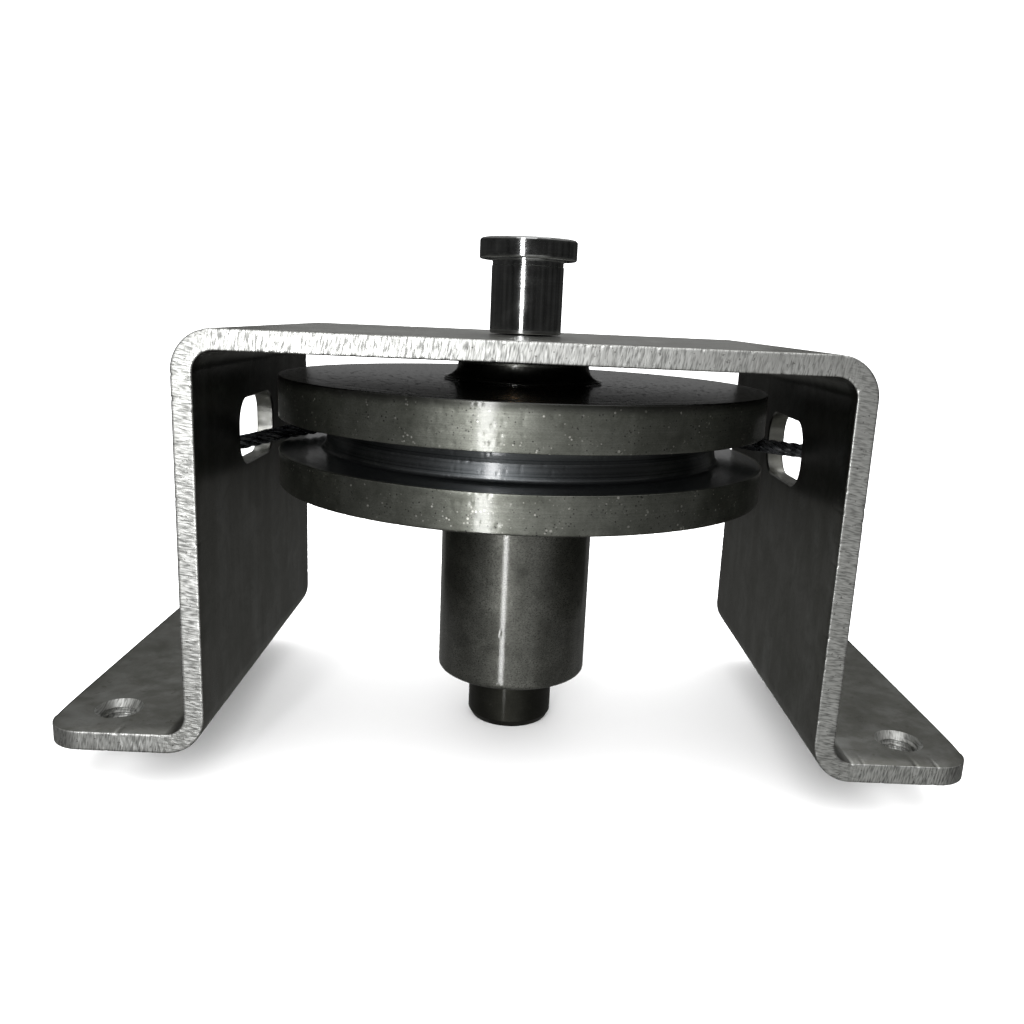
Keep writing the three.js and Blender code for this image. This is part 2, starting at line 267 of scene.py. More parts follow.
def turned(name, corners, material, facets, longest=3.0, relief=None, sharp_deg=35):
    """A piece turned about the Z axis. corners are (radius, height, fillet), anticlockwise, and closed
    unless the first and last lie on the axis. relief(angle, radius, height) is a push along the normal."""
    closed = corners[0][0] > 0
    points = refine(fillet(corners), longest, closed)
    normals = outline_normals(points, closed)
    if not closed:
        points, normals = points[1:-1], normals[1:-1]
    angle = np.linspace(0, 2 * math.pi, facets, endpoint=False)[:, None]
    radius, height = points[None, :, 0], points[None, :, 1]
    shift = relief(angle, radius, height) if relief else 0.0
    radius = radius + normals[None, :, 0] * shift
    height = height + normals[None, :, 1] * shift
    grid = polar(radius, angle, height)
    rows, columns = grid.shape[:2]
    faces = grid_faces(rows, columns, True, closed)
    cloud = grid.reshape(-1, 3)
    if not closed:
        low, high = len(cloud), len(cloud) + 1
        cloud = np.vstack([cloud, [[0, 0, corners[0][1]], [0, 0, corners[-1][1]]]])
        for k in range(rows):
            after = (k + 1) % rows
            faces.append([low, after * columns, k * columns])
            faces.append([high, k * columns + columns - 1, after * columns + columns - 1])
    return make_object(name, cloud, faces, material, sharp_deg)


def directions(path):
    """Unit vectors along a path of points."""
    along = np.gradient(path, axis=0)
    return along / np.linalg.norm(along, axis=1, keepdims=True)


def tube_along(path, radius, sides):
    """Points and faces of a closed round tube along a path of points."""
    side, up = carried_frame(directions(path))
    angle = np.linspace(0, 2 * math.pi, sides, endpoint=False)
    ring = np.cos(angle)[None, :, None] * side[:, None] + np.sin(angle)[None, :, None] * up[:, None]
    points = path[:, None] + radius * ring
    return points.reshape(-1, 3), capped_faces(len(path), sides)


def carried_frame(along):
    """Two unit vectors across a path, carried along it without twist."""
    side = np.cross(along[0], [0, 0, 1])
    side /= np.linalg.norm(side)
    sides = [side]
    for direction in along[1:]:
        side = side - direction * (side @ direction)
        side /= np.linalg.norm(side)
        sides.append(side)
    sides = np.array(sides)
    return sides, np.cross(along, sides)


def combine(obj, tools, operation):
    """Cuts the tools out of obj (DIFFERENCE) or joins them to it (UNION), and leaves a plain mesh."""
    for tool in tools:
        modifier = obj.modifiers.new("combine", "BOOLEAN")
        modifier.operation = operation
        modifier.solver = "MANIFOLD"
        modifier.object = tool
    settle(obj)
    for tool in tools:
        bpy.data.objects.remove(tool)


def settle(obj):
    """Applies every modifier on obj."""
    bpy.context.view_layer.update()
    graph = bpy.context.evaluated_depsgraph_get()
    mesh = bpy.data.meshes.new_from_object(obj.evaluated_get(graph))
    obj.modifiers.clear()
    old = obj.data
    obj.data = mesh
    mesh.name = obj.name
    bpy.data.meshes.remove(old)


# ---- materials

FRONT_TURN = math.radians(8)  # how far to the right of the front the lit floor lies
FRONT_GLOW = 0.45
FLOOR_GLOW = 0.1
SKY_GLOW = 0.3
AROUND_GLOW = 0.04


class Nodes:
    """A material's node tree, built with short calls."""

    def __init__(self, name):
        self.material = bpy.data.materials.new(name)
        self.material.use_nodes = True
        self.tree = self.material.node_tree
        self.shader = self.tree.nodes["Principled BSDF"]
        self.place = self.add("ShaderNodeTexCoord").outputs["Object"]

    def add(self, kind, **settings):
        node = self.tree.nodes.new(kind)
        for key, value in settings.items():
            setattr(node, key, value)
        return node

    def fed(self, kind, inputs, **settings):
        """A new node with its inputs fed."""
        node = self.add(kind, **settings)
        self.feed_all(node, inputs)
        return node

    def feed_all(self, node, inputs):
        """Feeds a node numbers, colours or other nodes' outputs, by socket name."""
        for key, value in inputs.items():
            self.feed(node.inputs[key], value)

    def link(self, source, socket):
        self.tree.links.new(source, socket)

    def feed(self, socket, value):
        """Links a value into a socket, or sets the socket to a number or a colour."""
        if isinstance(value, tuple):
            socket.default_value = (*value, 1)
        elif isinstance(value, (int, float)):
            socket.default_value = value if socket.type == "VALUE" else (value, value, value, 1)
        else:
            self.link(value, socket)

    def noise(self, scale, detail, roughness, distortion=0.0, vector=None):
        inputs = {"Scale": scale, "Detail": detail, "Roughness": roughness, "Distortion": distortion}
        inputs["Vector"] = vector or self.place
        return self.fed("ShaderNodeTexNoise", inputs).outputs["Fac"]

    def cells(self, scale, vector=None):
        inputs = {"Scale": scale, "Vector": vector or self.place}
        return self.fed("ShaderNodeTexVoronoi", inputs).outputs["Distance"]

    def stretched(self, x, y, z, vector=None, lean_deg=0.0):
        node = self.add("ShaderNodeMapping", vector_type="TEXTURE" if lean_deg else "POINT")
        node.inputs["Scale"].default_value = (1 / x, 1 / y, 1 / z) if lean_deg else (x, y, z)
        node.inputs["Rotation"].default_value = (0, math.radians(lean_deg), 0)
        self.link(vector or self.place, node.inputs["Vector"])
        return node.outputs["Vector"]

    def ramp(self, value, *stops):
        """stops are (position, colour or grey)."""
        node = self.add("ShaderNodeValToRGB")
        while len(node.color_ramp.elements) < len(stops):
            node.color_ramp.elements.new(0.5)
        for element, (position, colour) in zip(node.color_ramp.elements, stops):
            element.position = position
            element.color = (*colour, 1) if isinstance(colour, tuple) else (colour, colour, colour, 1)
        self.link(value, node.inputs["Fac"])
        return node.outputs["Color"]

    def mix(self, amount, a, b):
        inputs = {"Factor": amount, "A": a, "B": b}
        return self.fed("ShaderNodeMix", inputs, data_type="RGBA").outputs["Result"]

    def math(self, operation, a, b=0.0):
        node = self.add("ShaderNodeMath", operation=operation)
        for socket, value in zip(node.inputs, (a, b)):
            self.feed(socket, value)
        return node.outputs["Value"]

    def times(self, a, b):
        return self.math("MULTIPLY", a, b)

    def span(self, value, low, high, to_low, to_high, kind="LINEAR"):
        inputs = {"Value": value, "From Min": low, "From Max": high, "To Min": to_low, "To Max": to_high}
        return self.fed("ShaderNodeMapRange", inputs, interpolation_type=kind).outputs["Result"]

    def bump(self, height, strength, distance_mm, normal=None):
        inputs = {"Strength": strength, "Distance": distance_mm * MM, "Height": height}
        if normal:
            inputs["Normal"] = normal
        return self.fed("ShaderNodeBump", inputs).outputs["Normal"]

    def radius(self):
        """Distance from the spindle axis, as a vector with the height in Z."""
        x, y, z = self.xyz()
        flat = self.fed("ShaderNodeCombineXYZ", {"X": x, "Y": y})
        length = self.add("ShaderNodeVectorMath", operation="LENGTH")
        self.link(flat.outputs["Vector"], length.inputs["Vector"])
        return self.fed("ShaderNodeCombineXYZ", {"X": length.outputs["Value"], "Z": z}).outputs["Vector"]

    def xyz(self, vector=None):
        """The three parts of a vector, or of the position."""
        split = self.add("ShaderNodeSeparateXYZ")
        self.link(vector or self.place, split.inputs["Vector"])
        return split.outputs["X"], split.outputs["Y"], split.outputs["Z"]

    def finish(self, color, roughness, normal=None, metallic=1.0, coat=0.0, coat_roughness=0.1):
        inputs = {"Base Color": color, "Roughness": roughness, "Metallic": metallic, "Coat Weight": coat}
        inputs["Coat Roughness"] = coat_roughness
        if normal:
            inputs["Normal"] = normal
        self.feed_all(self.shader, inputs)
        return self.material


def plate_face_material():
    """Rolled plate: soft grey, cloudy, with dark oily mottling and faint rolling streaks down the legs."""
    n = Nodes("plate_face")
    cloud = n.noise(38, 4, 0.6, 0.4)
    streak = n.noise(1, 4, 0.6, 0.2, n.stretched(150, 150, 16))
    blotch = n.noise(85, 5, 0.7, 0.5)
    grain = n.noise(1900, 3, 0.6)
    base = n.ramp(cloud, (0.3, (0.2, 0.202, 0.19)), (0.5, (0.27, 0.272, 0.26)), (0.7, (0.34, 0.345, 0.335)))
    base = n.mix(n.span(streak, 0.38, 0.62, 0.0, 0.55), base, (0.14, 0.137, 0.12))
    x, _, _ = n.xyz()
    on_leg = n.span(n.math("ABSOLUTE", x), (LEG_INNER - 6) * MM, LEG_INNER * MM, 0.2, 0.6)
    base = n.mix(n.times(n.span(blotch, 0.4, 0.62, 0.0, 1.0), on_leg), base, (0.12, 0.122, 0.105))
    specks = n.ramp(n.noise(520, 2, 0.5), (0.66, 0.0), (0.72, 1.0))
    base = n.mix(n.times(specks, 0.4), base, (0.1, 0.09, 0.075))
    rough = n.span(n.mix(0.5, cloud, grain), 0.25, 0.75, 0.24, 0.42)
    normal = n.bump(grain, 0.35, 0.03)
    normal = n.bump(streak, 0.12, 0.05, normal)
    return n.finish(base, rough, normal)


def plate_cut_material():
    """Sheared and filed plate edge: bright, with fine leaning marks across the thickness and dark nicks."""
    n = Nodes("plate_cut_edge")
    x, _, _ = n.xyz()
    away = n.math("ABSOLUTE", x)
    past_bend = n.span(away, (LEG_INNER - 4) * MM, (LEG_INNER + 2) * MM, 0.0, 1.0)
    before_flange = n.span(away, (LEG_OUTER + 2) * MM, (LEG_OUTER + 8) * MM, 1.0, 0.0)
    on_leg = n.times(past_bend, before_flange)
    lying = n.noise(1, 1, 0.5, 0.1, n.stretched(2700, 300, 480, None, 9))
    standing = n.noise(1, 1, 0.5, 0.1, n.stretched(480, 300, 2700, None, 9))
    marks = n.mix(on_leg, lying, standing)
    patches = n.noise(120, 3, 0.6)
    tones = (0.34, (0.25, 0.252, 0.245)), (0.46, (0.46, 0.465, 0.45)), (0.62, (0.68, 0.685, 0.67))
    base = n.ramp(marks, *tones)
    base = n.mix(n.span(patches, 0.35, 0.7, 0.0, 0.4), base, (0.4, 0.4, 0.385))
    nicks = n.ramp(n.noise(1100, 2, 0.6, 0.3), (0.66, 0.0), (0.7, 1.0))
    base = n.mix(n.times(nicks, 0.7), base, (0.08, 0.078, 0.07))
    rough = n.span(marks, 0.3, 0.7, 0.5, 0.36)
    normal = n.bump(marks, 0.25, 0.03)
    return n.finish(base, rough, normal)


def turned_material(name, dark, light, rough_low, rough_high, lines, specks, glints, pepper, coat,
                    coat_roughness=0.14, groove=None):
    """Turned steel: fine rings, soft mottling, small dark pits and bright specks under an oiled skin.
    groove is the dark tone painted inside the sheave's rims as painted shade; given it, the rims also get a
    painted shadow under their top edge and a near-black painted top face."""
    n = Nodes(name)
    place = n.radius()
    rings = n.noise(1, 4, 0.7, 0.0, n.stretched(1900, 1, 1900, place))
    broad = n.noise(1, 2, 0.5, 0.0, n.stretched(520, 1, 520, place))
    cloud = n.noise(130, 5, 0.66, 0.3)
    grain = n.noise(1700, 3, 0.65)
    base = n.mix(n.span(cloud, 0.32, 0.68, 0.0, 1.0), dark, light)
    base = n.mix(n.times(n.span(rings, 0.35, 0.65, 0.0, 1.0), lines), base, dark)
    fine = n.ramp(n.noise(2300, 2, 0.6, 0.0, n.stretched(1, 1, 1.6)), (0.45, 0.0), (0.68, 1.0))
    base = n.mix(n.times(fine, pepper), base, tuple(0.45 * part for part in dark))
    spots = n.ramp(n.cells(1000), (0.12, 1.0), (0.26, 0.0))
    spots = n.times(spots, n.ramp(n.noise(260, 2, 0.6), (0.46, 0.0), (0.56, 1.0)))
    base = n.mix(n.times(spots, specks), base, (0.03, 0.029, 0.026))
    uneven = n.span(n.noise(500, 1, 0.5), 0.3, 0.7, -0.2, 0.14)
    away = n.math("ADD", n.cells(950, n.stretched(1.07, 0.93, 1.1)), uneven)
    bright = n.ramp(away, (0.04, 1.0), (0.2, 0.0))
    bright = n.times(bright, n.ramp(n.noise(190, 3, 0.7), (0.48, 0.0), (0.62, 1.0)))
    base = n.mix(n.times(bright, glints), base, (0.85, 0.84, 0.78))
    if groove:
        from_axis, _, height = n.xyz(place)
        # Painted shade: inside the rims the colour turns to the dark groove tone, streaked by the rings, for
        # the shade the upper rim casts in the groove.
        inside = n.span(from_axis, (SHEAVE_R - 1.5) * MM, (SHEAVE_R - 0.5) * MM, 1.0, 0.0)
        streaks = n.mix(n.span(rings, 0.38, 0.62, 0.0, 1.0), groove, (0.12, 0.127, 0.132))
        base = n.mix(inside, base, streaks)
        # Painted shade: the top face and its rounded edge are made near black with little specular tint, for
        # the shade under the top plate.
        upper = n.span(height, (SHEAVE_TOP - 0.3) * MM, (SHEAVE_TOP - 0.1) * MM, 0.0, 1.0)
        # Painted shadow: the rim darkens towards its top edge, standing in for the top plate's shade there.
        plate_shadow_band = n.span(height, (SHEAVE_TOP - 2.6) * MM, (SHEAVE_TOP - 0.4) * MM, 0.0, 0.85, "SMOOTHSTEP")
        base = n.mix(plate_shadow_band, base, (0.03, 0.03, 0.027))
        base = n.mix(upper, base, n.mix(cloud, (0.008, 0.008, 0.007), (0.02, 0.02, 0.018)))
        n.link(n.ramp(upper, (0.0, 1.0), (1.0, 0.06)), n.shader.inputs["Specular Tint"])
    rough = n.span(n.mix(0.4, rings, grain), 0.3, 0.7, rough_low, rough_high)
    normal = n.bump(rings, 0.3, 0.025)
    normal = n.bump(broad, 0.2, 0.03, normal)
    normal = n.bump(grain, 0.3, 0.02, normal)
    normal = n.bump(spots, -0.5, 0.08, normal)
    return n.finish(base, rough, normal, 1.0, coat, coat_roughness)


def polished_material():
    """Ground and polished steel with a few faint rings and hairline scratches."""
    n = Nodes("polished_steel")
    place = n.radius()
    rings = n.noise(1, 3, 0.6, 0.0, n.stretched(1500, 1, 1500, place))
    smear = n.noise(160, 4, 0.6, 0.6)
    base = n.ramp(smear, (0.3, (0.34, 0.345, 0.345)), (0.7, (0.5, 0.505, 0.505)))
    base = n.mix(n.span(rings, 0.4, 0.65, 0.0, 0.35), base, (0.22, 0.222, 0.222))
    rough = n.span(n.mix(0.6, rings, smear), 0.35, 0.65, 0.07, 0.15)
    normal = n.bump(rings, 0.08, 0.006)
    return n.finish(base, rough, normal)


def plain_metal(name, dark, light, rough_low, rough_high, scale=700, bump=0.25, coat=0.0):
    """Small metal pieces: two tones broken up by grain, with a slightly rough skin."""
    n = Nodes(name)
    cloud = n.noise(scale / 4, 3, 0.6)
    grain = n.noise(scale * 3, 3, 0.6)
    base = n.mix(n.span(cloud, 0.3, 0.7, 0.0, 1.0), dark, light)
    rough = n.span(n.mix(0.5, cloud, grain), 0.3, 0.7, rough_low, rough_high)
    return n.finish(base, rough, n.bump(grain, bump, 0.02), 1.0, coat)


def rope_material():
    """Drawn steel wire under dark grease."""
    n = Nodes("rope_wire")
    grease = n.noise(420, 3, 0.6, 0.4)
    fine = n.noise(3000, 2, 0.5)
    tones = (0.35, (0.03, 0.032, 0.035)), (0.55, (0.1, 0.105, 0.11)), (0.75, (0.28, 0.285, 0.29))
    base = n.ramp(grease, *tones)
    rough = n.span(grease, 0.3, 0.7, 0.25, 0.5)
    return n.finish(base, rough, n.bump(fine, 0.2, 0.01), 0.85)


def studio_material():
    """Dim surroundings that only the metal mirrors: a lit floor in front, dark behind, soft above."""
    n = Nodes("studio_surroundings")
    unit = n.add("ShaderNodeVectorMath", operation="NORMALIZE")
    n.link(n.place, unit.inputs[0])
    n.place = unit.outputs["Vector"]
    _, y, z = n.xyz()
    facing = n.add("ShaderNodeVectorMath", operation="DOT_PRODUCT")
    n.link(n.place, facing.inputs[0])
    facing.inputs[1].default_value = (math.sin(FRONT_TURN), -math.cos(FRONT_TURN), 0)
    front = n.span(facing.outputs["Value"], 0.68, 0.97, 0.0, FRONT_GLOW, "SMOOTHSTEP")
    front = n.times(front, n.span(z, -0.05, -0.12, 0.0, 1.0, "SMOOTHSTEP"))
    below = n.span(z, -0.13, -0.21, 0.0, FLOOR_GLOW, "SMOOTHSTEP")
    above = n.span(z, 0.2, 0.6, 0.0, SKY_GLOW, "SMOOTHSTEP")
    around = n.span(y, 0.98, 0.86, 0.0, AROUND_GLOW, "SMOOTHSTEP")
    level = n.math("ADD", n.math("ADD", front, below), n.math("ADD", above, around))
    level = n.times(level, n.span(n.noise(5, 3, 0.6), 0.3, 0.7, 0.45, 1.55))
    n.link(n.ramp(level, (0.0, 0.0), (1.0, (1.0, 1.0, 0.97))), n.shader.inputs["Emission Color"])
    n.shader.inputs["Emission Strength"].default_value = 1.0
    n.shader.inputs["Base Color"].default_value = (0, 0, 0, 1)
    n.shader.inputs["Specular IOR Level"].default_value = 0
    n.material.cycles.emission_sampling = "NONE"
    return n.material


def floor_material():
    n = Nodes("pale_floor")
    tone = n.ramp(n.noise(6, 2, 0.5), (0.3, 0.92), (0.7, 0.94))
    rough = n.span(n.noise(40, 2, 0.5), 0.3, 0.7, 0.75, 0.85)
    return n.finish(tone, rough, None, 0.0)


# ---- bracket

EDGE_BREAK = 0.35
CUT_STEP = 0.27  # sample spacing along the plate's cut edges
CUT_ROWS = 12


def hat_midline():
    """Middle line of the folded plate from the left flange end to the right one.
    Each row is (x, z, normal x, normal z, half depth, outward x of the cut edge)."""
    rows = []
    corner = FLANGE_CORNER
    turns = 16
    for k in range(turns + 1):
        angle = math.pi / 2 * k / turns
        half = HALF_DEPTH - corner + corner * math.sin(angle)
        x = -(HALF_WIDTH - corner) - corner * math.cos(angle)
        rows.append((x, PLATE / 2, 0, 1, half, -math.cos(angle)))

    def straight(x0, z0, x1, z1, nx, nz):
        count = max(2, round(math.hypot(x1 - x0, z1 - z0) / CUT_STEP))
        for i in range(1, count + 1):
            t = i / count
            rows.append((x0 + (x1 - x0) * t, z0 + (z1 - z0) * t, nx, nz, HALF_DEPTH, 0))

    def bend(cx, cz, start_deg, end_deg, outward):
        radius = (BEND_INSIDE + BEND_OUTSIDE) / 2
        count = round(math.radians(abs(end_deg - start_deg)) * radius / CUT_STEP)
        for i in range(1, count + 1):
            a = math.radians(start_deg + (end_deg - start_deg) * i / count)
            x, z = math.cos(a), math.sin(a)
            rows.append((cx + radius * x, cz + radius * z, outward * x, outward * z, HALF_DEPTH, 0))

    middle = LEG_OUTER - PLATE / 2
    foot_x, foot_z = LEG_INNER + BEND_OUTSIDE, BEND_OUTSIDE
    brow_x, brow_z = LEG_OUTER - BEND_OUTSIDE, HEIGHT - BEND_OUTSIDE
    straight(-(HALF_WIDTH - corner), PLATE / 2, -foot_x, PLATE / 2, 0, 1)
    bend(-foot_x, foot_z, -90, 0, -1)
    straight(-middle, foot_z, -middle, brow_z, -1, 0)
    bend(-brow_x, brow_z, 180, 90, 1)
    straight(-brow_x, HEIGHT - PLATE / 2, 0, HEIGHT - PLATE / 2, 0, 1)
    left = np.array(rows)
    right = left[-2::-1] * [-1, 1, -1, 1, 1, -1]
    return np.vstack([left, right])


def cut_marks(run, across, seed):
    """Saw marks on a cut edge: run is the distance along it, across goes from -1 to 1 over the thickness."""
    lag = 0.5 * across ** 2 + 0.25 * across
    slant = 0.25 * smooth_noise(run / 9, 0 * run + 3, seed + 3)
    place = run + lag + slant * across * 3
    coarse = smooth_noise(place / 0.95, across * 0.5, seed)
    fine = smooth_noise(place / 0.56, across * 0.9, seed + 1)
    wear = smooth_noise(run / 14, across * 0.4, seed + 2)
    return 0.022 * np.abs(coarse) * (0.7 + 0.5 * wear) + 0.016 * fine


def bracket_body(face_material, cut_material):
    """The folded plate as one sweep, with broken edges, saw marks and nicks on its cut edges."""
    line = hat_midline()
    step = np.hypot(np.diff(line[:, 0]), np.diff(line[:, 1]))
    run = np.concatenate([[0], np.cumsum(step)])
    half_plate = PLATE / 2
    across = np.linspace(1, -1, CUT_ROWS)
    face = np.linspace(-1, 1, 26)
    arc = np.linspace(0, math.pi / 2, 4)
    count = len(line)
    columns = []

    def column(offset, depth, side_push):
        """A line of points along the sweep, offset from the middle line and pushed out of a cut end."""
        x = line[:, 0] + line[:, 2] * offset + line[:, 5] * side_push
        z = line[:, 1] + line[:, 3] * offset
        columns.append(np.stack([x, depth, z], -1))

    def edge(side, upward):
        """The cut edge at one side of the plate, from the upper face to the lower one or back."""
        levels = [half_plate - EDGE_BREAK * (1 - math.cos(a)) for a in arc[:-1]]
        pushes = [EDGE_BREAK * (math.sin(a) - 1) for a in arc[:-1]]
        levels += list(across * (half_plate - EDGE_BREAK))
        pushes += [0.0] * CUT_ROWS
        levels += [-value for value in levels[2::-1]]
        pushes += pushes[2::-1]
        order = range(len(levels)) if upward else reversed(range(len(levels)))
        for k in order:
            share = levels[k] / half_plate
            marks = cut_marks(run, np.full(count, share), 11 if side > 0 else 23)
            rim = abs(share) ** 6
            nick_row = np.full(count, 0.5 + 3 * (share > 0))
            nick = dents(run / 2.6, nick_row, 31 if side > 0 else 43, 0.25, (0.12, 0.3))
            push = pushes[k] - 0.02 - marks * (1 - 0.6 * rim) + nick * 0.2 * rim
            sideways = np.sqrt(np.clip(1 - line[:, 5] ** 2, 0, 1))
            nick_in = nick * 0.07 * rim * math.copysign(1, levels[k])
            column(levels[k] + nick_in, side * (line[:, 4] + push * sideways), push)

    for share in face[1:-1]:
        column(half_plate, share * (line[:, 4] - EDGE_BREAK), -EDGE_BREAK * abs(share) ** 8)
    edge(1, True)
    for share in face[-2:0:-1]:
        column(-half_plate, share * (line[:, 4] - EDGE_BREAK), -EDGE_BREAK * abs(share) ** 8)
    edge(-1, False)
    grid = np.stack(columns, 1)
    for index, sign in ((0, 1), (-1, -1)):
        end = grid[index].copy()
        centre = end.mean(0)
        inset = end.copy()
        inset[:, 1] = centre[1] + (end[:, 1] - centre[1]) * (1 - EDGE_BREAK / HALF_DEPTH)
        inset[:, 2] = centre[2] + (end[:, 2] - centre[2]) * (1 - 2 * EDGE_BREAK / PLATE)
        grid[index, :, 0] = end[:, 0] + sign * EDGE_BREAK
        grid = np.concatenate([inset[None], grid]) if index == 0 else np.concatenate([grid, inset[None]])
    obj = lofted("bracket_plate", grid, face_material, 40)
    obj.data.materials.append(cut_material)
    return obj


def slot_outline():
    """Points and outward directions round a rope slot, in (y, z) about its centre."""
    run, rise = SLOT_LENGTH / 2 - SLOT_CORNER, SLOT_HEIGHT / 2 - SLOT_CORNER
    points, outward = [], []
    signs = ((1, 1), (-1, 1), (-1, -1), (1, -1))
    for quarter, (side_y, side_z) in enumerate(signs):
        for angle in np.linspace(0, math.pi / 2, 20) + quarter * math.pi / 2:
            out = np.array([math.cos(angle), math.sin(angle)])
            points.append(np.array([side_y * run, side_z * rise]) + SLOT_CORNER * out)
            outward.append(out)
        next_y, next_z = signs[(quarter + 1) % 4]
        far = np.array([next_y * run, next_z * rise]) + SLOT_CORNER * out
        near = points[-1]
        steps = max(2, round(np.linalg.norm(far - near) / 0.6))
        for k in range(1, steps):
            points.append(near + (far - near) * k / steps)
            outward.append(out)
    return np.array(points), np.array(outward)


def slot_tool(side):
    """A plug for one rope slot, flared where it leaves the leg so that the slot's edges are broken."""
    points, outward = slot_outline()
    perimeter = np.arange(len(points)) * 0.55
    break_edge = 0.4
    stations = [(-1, break_edge + 1), (0, break_edge), (break_edge, 0)]
    stations += [(x, 0) for x in np.linspace(break_edge, PLATE - break_edge, 8)[1:-1]]
    stations += [(PLATE - break_edge, 0), (PLATE, break_edge), (PLATE + 1, break_edge + 1)]
    rings = []
    for depth, flare in stations:
        rough = 0.05 * smooth_noise(perimeter / 0.9, np.full(len(points), depth / 3), 57 if side > 0 else 61)
        pushed = points + outward * (flare + rough * (flare == 0))[:, None]
        x = np.full(len(points), side * (LEG_INNER + depth))
        rings.append(np.stack([x, SLOT_Y + pushed[:, 0], SLOT_Z + pushed[:, 1]], -1))
    return lofted("slot_tool", np.array(rings))


def thread_radius(angle, height, core, major, pitch):
    """Radius of a metric thread at an angle and height."""
    phase = (height / pitch - angle / (2 * math.pi)) % 1.0
    wave = np.clip(np.abs(phase - 0.5) * 2 * 1.25 - 0.12, 0, 1)
    return major - (major - core) * wave


def tap_tool(x, y):
    """A threaded plug with a countersink above, to cut one tapped flange hole."""
    facets = 72
    sink = BOLT_MOUTH_R - BOLT_CORE_R
    height = np.concatenate([[-1.0], np.linspace(-0.4, PLATE + 0.02, 58), [PLATE + 0.6]])[:, None]
    angle = np.linspace(0, 2 * math.pi, facets, endpoint=False)[None, :]
    radius = thread_radius(angle, height, BOLT_CORE_R, BOLT_MAJOR_R, BOLT_PITCH)
    mouth = BOLT_CORE_R + np.clip(height - (PLATE - sink), 0, None)
    foot = BOLT_CORE_R + np.clip(0.6 - height, 0, 1.2)
    radius = np.maximum(np.maximum(radius, mouth), foot)
    return lofted("tap_tool", polar(radius, angle, height) + [x, y, 0])


def paint_cut_edges(obj):
    """Gives the plate's cut edges and hole walls the cut-edge material. Slot walls keep the face's."""
    mesh = obj.data
    count = len(mesh.polygons)
    centre, normal = np.zeros((2, count * 3))
    mesh.polygons.foreach_get("center", centre)
    mesh.polygons.foreach_get("normal", normal)
    centre, normal = centre.reshape(-1, 3) / MM, normal.reshape(-1, 3)
    x, z = np.abs(centre[:, 0]), centre[:, 2]
    depth_edge = np.abs(normal[:, 1]) > 0.35
    flange_end = (z < PLATE + 1) & (x > HALF_WIDTH - FLANGE_CORNER) & (np.abs(normal[:, 2]) < 0.7)
    in_slot = (x > LEG_INNER - 0.1) & (x < LEG_OUTER + 0.1) & (np.abs(normal[:, 0]) < 0.9)
    in_slot &= np.abs(z - SLOT_Z) < SLOT_HEIGHT / 2 + 1
    in_slot &= np.abs(centre[:, 1] - SLOT_Y) < SLOT_LENGTH / 2 + 1
    hole_away = np.hypot(x - BOLT_X, np.abs(centre[:, 1]) - BOLT_Y)
    in_hole = (hole_away < BOLT_MOUTH_R + 0.2) & (np.abs(normal[:, 2]) < 0.9)
    cut_side = (depth_edge & ~in_slot) | flange_end | in_hole
    mesh.polygons.foreach_set("material_index", cut_side.astype(np.int32))
    mesh.update()


def plug(name, radius, low, high, facets):
    """A plain round cutting tool on the Z axis."""
    return turned(name, [(0, low, 0), (radius, low, 0), (radius, high, 0), (0, high, 0)], None, facets)


def bracket():
    """The plate with its rope slots, tapped holes and stud hole cut."""
    plate = bracket_body(plate_face_material(), plate_cut_material())
    tools = [slot_tool(-1), slot_tool(1)]
    for side_x in (-1, 1):
        for side_y in (-1, 1):
            tools.append(tap_tool(side_x * BOLT_X, side_y * BOLT_Y))
    tools.append(plug("stud_hole_tool", STUD_R + FIT, HEIGHT - PLATE - 1, HEIGHT + 1, 64))
    combine(plate, tools, "DIFFERENCE")
    shade(plate, 40)
    paint_cut_edges(plate)
    return plate


# ---- sheave and hub


def rim_relief(angle, radius, height):
    """Turning rings and scattered small pits over the sheave."""
    cells = round(2 * math.pi * SHEAVE_R / 2.2)
    place = angle / (2 * math.pi) * cells
    pits = dents(place, (radius - height) / 2.2, 5, 0.3, (0.16, 0.28), cells) * 0.06
    rings = 0.012 * smooth_noise((radius + height) / 0.9 + 0 * angle, 0 * angle + 0.5 * radius, 9)
    return pits + rings


def sheave(material):
    bore = NECK_R + FIT
    middle = (GROOVE_BOTTOM + GROOVE_TOP) / 2
    corners = [
        (bore, SHEAVE_BOTTOM, 0.4),
        (SHEAVE_R, SHEAVE_BOTTOM, 0.4),
        (SHEAVE_R, GROOVE_BOTTOM, 0.15),
        (GROOVE_FLOOR_R, GROOVE_BOTTOM, 1.3),
        (GROOVE_FLOOR_R - GROOVE_VEE, middle, 0.6),
        (GROOVE_FLOOR_R, GROOVE_TOP, 1.3),
        (SHEAVE_R, GROOVE_TOP, 0.15),
        (SHEAVE_R, SHEAVE_TOP, 0.25),
        (bore, SHEAVE_TOP, 0.4),
    ]
    return turned("sheave_disc", corners, material, 960, 0.5, rim_relief)


def barrel_relief(angle, radius, height):
    cells = 60
    pits = dents(angle / (2 * math.pi) * cells, (height + radius) / 2.3, 15, 0.2, (0.08, 0.22), cells) * 0.08
    return pits + 0.01 * smooth_noise((height + radius) / 0.6 + 0 * angle, 0 * angle, 16)


def hub(material):
    shoulder = SHEAVE_BOTTOM - 0.3
    corners = [
        (HUB_BORE_R, HUB_BOTTOM, 0.3),
        (HUB_R, HUB_BOTTOM, 0.9),
        (HUB_R, shoulder, 0.3),
        (NECK_R, shoulder, 0.3),
        (NECK_R, HUB_TOP, 0.6),
        (HUB_BORE_R, HUB_TOP, 0.3),
    ]
    return turned("hub_body", corners, material, 480, 0.8, barrel_relief)


